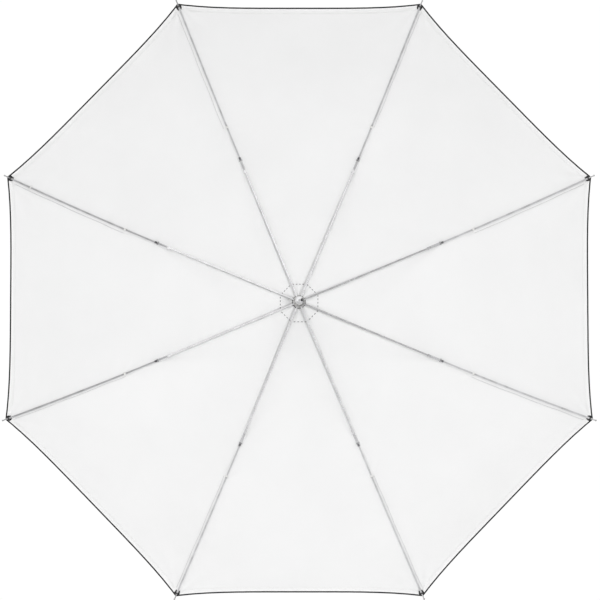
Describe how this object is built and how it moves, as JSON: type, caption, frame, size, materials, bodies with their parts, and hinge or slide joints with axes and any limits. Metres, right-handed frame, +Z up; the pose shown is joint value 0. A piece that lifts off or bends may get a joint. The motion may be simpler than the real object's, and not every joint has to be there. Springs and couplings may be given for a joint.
{
  "type": "umbrella reflector",
  "caption": "Folding studio umbrella: octagonal canopy, white inside with a black backing cover, on a slim metal shaft with ribs, stretchers and a sliding runner.",
  "frame": {"origin": "centre of the shaft's plain grip stretch, on the shaft's axis", "axes": "the shaft runs along Y: the hollow white side and the free end of the shaft face -Y, the cap is at the +Y end; +Z is up, with a flat side of the octagon on top"},
  "size_m": [0.9308, 0.6474, 0.9308],
  "materials": {
    "chrome_tube": "polished",
    "nickel": "bright nickel plate",
    "wire": "drawn wire",
    "spring_steel": "spring steel",
    "plated_steel": "zinc plated",
    "dark_steel": "dark rivet",
    "tip_metal": "satin nickel",
    "white_fabric": "matte white nylon",
    "black_fabric": "matte black nylon",
    "black_plastic": "matte"
  },
  "bodies": {
    "shaft": {"shaft_tube": "chrome_tube", "shaft_end_plug": "chrome_tube", "notch": "nickel", "notch_pin": "nickel", "notch_ring": "wire", "canopy_hub_disc": "white_fabric", "cap_rosette": "black_plastic", "top_cap": "black_plastic"},
    "open_catch": {"open_catch": "spring_steel"},
    "runner": {"runner": "nickel", "runner_ring": "wire"},
    "rib_1": {"rib_1": "plated_steel", "rib_tip_1": "tip_metal", "rivet_1": "dark_steel", "canopy_1": "white_fabric", "cover_1": "black_fabric"},
    "stretcher_1": {"stretcher_1": "plated_steel"},
    "rib_2": {"rib_2": "plated_steel", "rib_tip_2": "tip_metal", "rivet_2": "dark_steel", "canopy_2": "white_fabric", "cover_2": "black_fabric"},
    "stretcher_2": {"stretcher_2": "plated_steel"},
    "rib_3": {"rib_3": "plated_steel", "rib_tip_3": "tip_metal", "rivet_3": "dark_steel", "canopy_3": "white_fabric", "cover_3": "black_fabric"},
    "stretcher_3": {"stretcher_3": "plated_steel"},
    "rib_4": {"rib_4": "plated_steel", "rib_tip_4": "tip_metal", "rivet_4": "dark_steel", "canopy_4": "white_fabric", "cover_4": "black_fabric"},
    "stretcher_4": {"stretcher_4": "plated_steel"},
    "rib_5": {"rib_5": "plated_steel", "rib_tip_5": "tip_metal", "rivet_5": "dark_steel", "canopy_5": "white_fabric", "cover_5": "black_fabric"},
    "stretcher_5": {"stretcher_5": "plated_steel"},
    "rib_6": {"rib_6": "plated_steel", "rib_tip_6": "tip_metal", "rivet_6": "dark_steel", "canopy_6": "white_fabric", "cover_6": "black_fabric"},
    "stretcher_6": {"stretcher_6": "plated_steel"},
    "rib_7": {"rib_7": "plated_steel", "rib_tip_7": "tip_metal", "rivet_7": "dark_steel", "canopy_7": "white_fabric", "cover_7": "black_fabric"},
    "stretcher_7": {"stretcher_7": "plated_steel"},
    "rib_8": {"rib_8": "plated_steel", "rib_tip_8": "tip_metal", "rivet_8": "dark_steel", "canopy_8": "white_fabric", "cover_8": "black_fabric"},
    "stretcher_8": {"stretcher_8": "plated_steel"}
  },
  "joints": [
    {"name": "runner_slide", "type": "slide", "parent": "shaft", "child": "runner", "axis": [0, -1, 0], "range_m": [0, 0.35407]},
    {"name": "rib_1_hinge", "type": "hinge", "parent": "shaft", "child": "rib_1", "pos_m": [0.00795, 0.576, 0.00329], "axis": [0.3827, 0, -0.9239], "range_deg": [0, 65.45], "deforming": ["canopy_1", "cover_1"]},
    {"name": "stretcher_1_pivot", "type": "hinge", "parent": "rib_1", "child": "stretcher_1", "pos_m": [0.23027, 0.50445, 0.09538], "axis": [-0.3827, 0, 0.9239], "range_deg": [0, 130.9]},
    {"name": "rib_2_hinge", "type": "hinge", "parent": "shaft", "child": "rib_2", "pos_m": [0.00329, 0.576, 0.00795], "axis": [0.9239, 0, -0.3827], "range_deg": [0, 65.45], "deforming": ["canopy_2", "cover_2"]},
    {"name": "stretcher_2_pivot", "type": "hinge", "parent": "rib_2", "child": "stretcher_2", "pos_m": [0.09538, 0.50445, 0.23027], "axis": [-0.9239, 0, 0.3827], "range_deg": [0, 130.9]},
    {"name": "rib_3_hinge", "type": "hinge", "parent": "shaft", "child": "rib_3", "pos_m": [-0.00329, 0.576, 0.00795], "axis": [0.9239, 0, 0.3827], "range_deg": [0, 65.45], "deforming": ["canopy_3", "cover_3"]},
    {"name": "stretcher_3_pivot", "type": "hinge", "parent": "rib_3", "child": "stretcher_3", "pos_m": [-0.09538, 0.50445, 0.23027], "axis": [-0.9239, 0, -0.3827], "range_deg": [0, 130.9]},
    {"name": "rib_4_hinge", "type": "hinge", "parent": "shaft", "child": "rib_4", "pos_m": [-0.00795, 0.576, 0.00329], "axis": [0.3827, 0, 0.9239], "range_deg": [0, 65.45], "deforming": ["canopy_4", "cover_4"]},
    {"name": "stretcher_4_pivot", "type": "hinge", "parent": "rib_4", "child": "stretcher_4", "pos_m": [-0.23027, 0.50445, 0.09538], "axis": [-0.3827, 0, -0.9239], "range_deg": [0, 130.9]},
    {"name": "rib_5_hinge", "type": "hinge", "parent": "shaft", "child": "rib_5", "pos_m": [-0.00795, 0.576, -0.00329], "axis": [-0.3827, 0, 0.9239], "range_deg": [0, 65.45], "deforming": ["canopy_5", "cover_5"]},
    {"name": "stretcher_5_pivot", "type": "hinge", "parent": "rib_5", "child": "stretcher_5", "pos_m": [-0.23027, 0.50445, -0.09538], "axis": [0.3827, 0, -0.9239], "range_deg": [0, 130.9]},
    {"name": "rib_6_hinge", "type": "hinge", "parent": "shaft", "child": "rib_6", "pos_m": [-0.00329, 0.576, -0.00795], "axis": [-0.9239, 0, 0.3827], "range_deg": [0, 65.45], "deforming": ["canopy_6", "cover_6"]},
    {"name": "stretcher_6_pivot", "type": "hinge", "parent": "rib_6", "child": "stretcher_6", "pos_m": [-0.09538, 0.50445, -0.23027], "axis": [0.9239, 0, -0.3827], "range_deg": [0, 130.9]},
    {"name": "rib_7_hinge", "type": "hinge", "parent": "shaft", "child": "rib_7", "pos_m": [0.00329, 0.576, -0.00795], "axis": [-0.9239, 0, -0.3827], "range_deg": [0, 65.45], "deforming": ["canopy_7", "cover_7"]},
    {"name": "stretcher_7_pivot", "type": "hinge", "parent": "rib_7", "child": "stretcher_7", "pos_m": [0.09538, 0.50445, -0.23027], "axis": [0.9239, 0, 0.3827], "range_deg": [0, 130.9]},
    {"name": "rib_8_hinge", "type": "hinge", "parent": "shaft", "child": "rib_8", "pos_m": [0.00795, 0.576, -0.00329], "axis": [-0.3827, 0, -0.9239], "range_deg": [0, 65.45], "deforming": ["canopy_8", "cover_8"]},
    {"name": "stretcher_8_pivot", "type": "hinge", "parent": "rib_8", "child": "stretcher_8", "pos_m": [0.23027, 0.50445, -0.09538], "axis": [0.3827, 0, 0.9239], "range_deg": [0, 130.9]},
    {"name": "open_catch_press", "type": "hinge", "parent": "shaft", "child": "open_catch", "pos_m": [0, 0.3856, 0.0032], "axis": [-1, 0, 0], "range_deg": [0, 4.6], "stiffness_Nm_per_rad": 0.5}
  ],
  "couplings": [
    {"joint": "rib_1_hinge", "follows": "runner_slide", "rad_per_m": 3.2238},
    {"joint": "stretcher_1_pivot", "follows": "runner_slide", "rad_per_m": 6.4476},
    {"joint": "rib_2_hinge", "follows": "runner_slide", "rad_per_m": 3.2238},
    {"joint": "stretcher_2_pivot", "follows": "runner_slide", "rad_per_m": 6.4476},
    {"joint": "rib_3_hinge", "follows": "runner_slide", "rad_per_m": 3.2238},
    {"joint": "stretcher_3_pivot", "follows": "runner_slide", "rad_per_m": 6.4476},
    {"joint": "rib_4_hinge", "follows": "runner_slide", "rad_per_m": 3.2238},
    {"joint": "stretcher_4_pivot", "follows": "runner_slide", "rad_per_m": 6.4476},
    {"joint": "rib_5_hinge", "follows": "runner_slide", "rad_per_m": 3.2238},
    {"joint": "stretcher_5_pivot", "follows": "runner_slide", "rad_per_m": 6.4476},
    {"joint": "rib_6_hinge", "follows": "runner_slide", "rad_per_m": 3.2238},
    {"joint": "stretcher_6_pivot", "follows": "runner_slide", "rad_per_m": 6.4476},
    {"joint": "rib_7_hinge", "follows": "runner_slide", "rad_per_m": 3.2238},
    {"joint": "stretcher_7_pivot", "follows": "runner_slide", "rad_per_m": 6.4476},
    {"joint": "rib_8_hinge", "follows": "runner_slide", "rad_per_m": 3.2238},
    {"joint": "stretcher_8_pivot", "follows": "runner_slide", "rad_per_m": 6.4476}
  ]
}
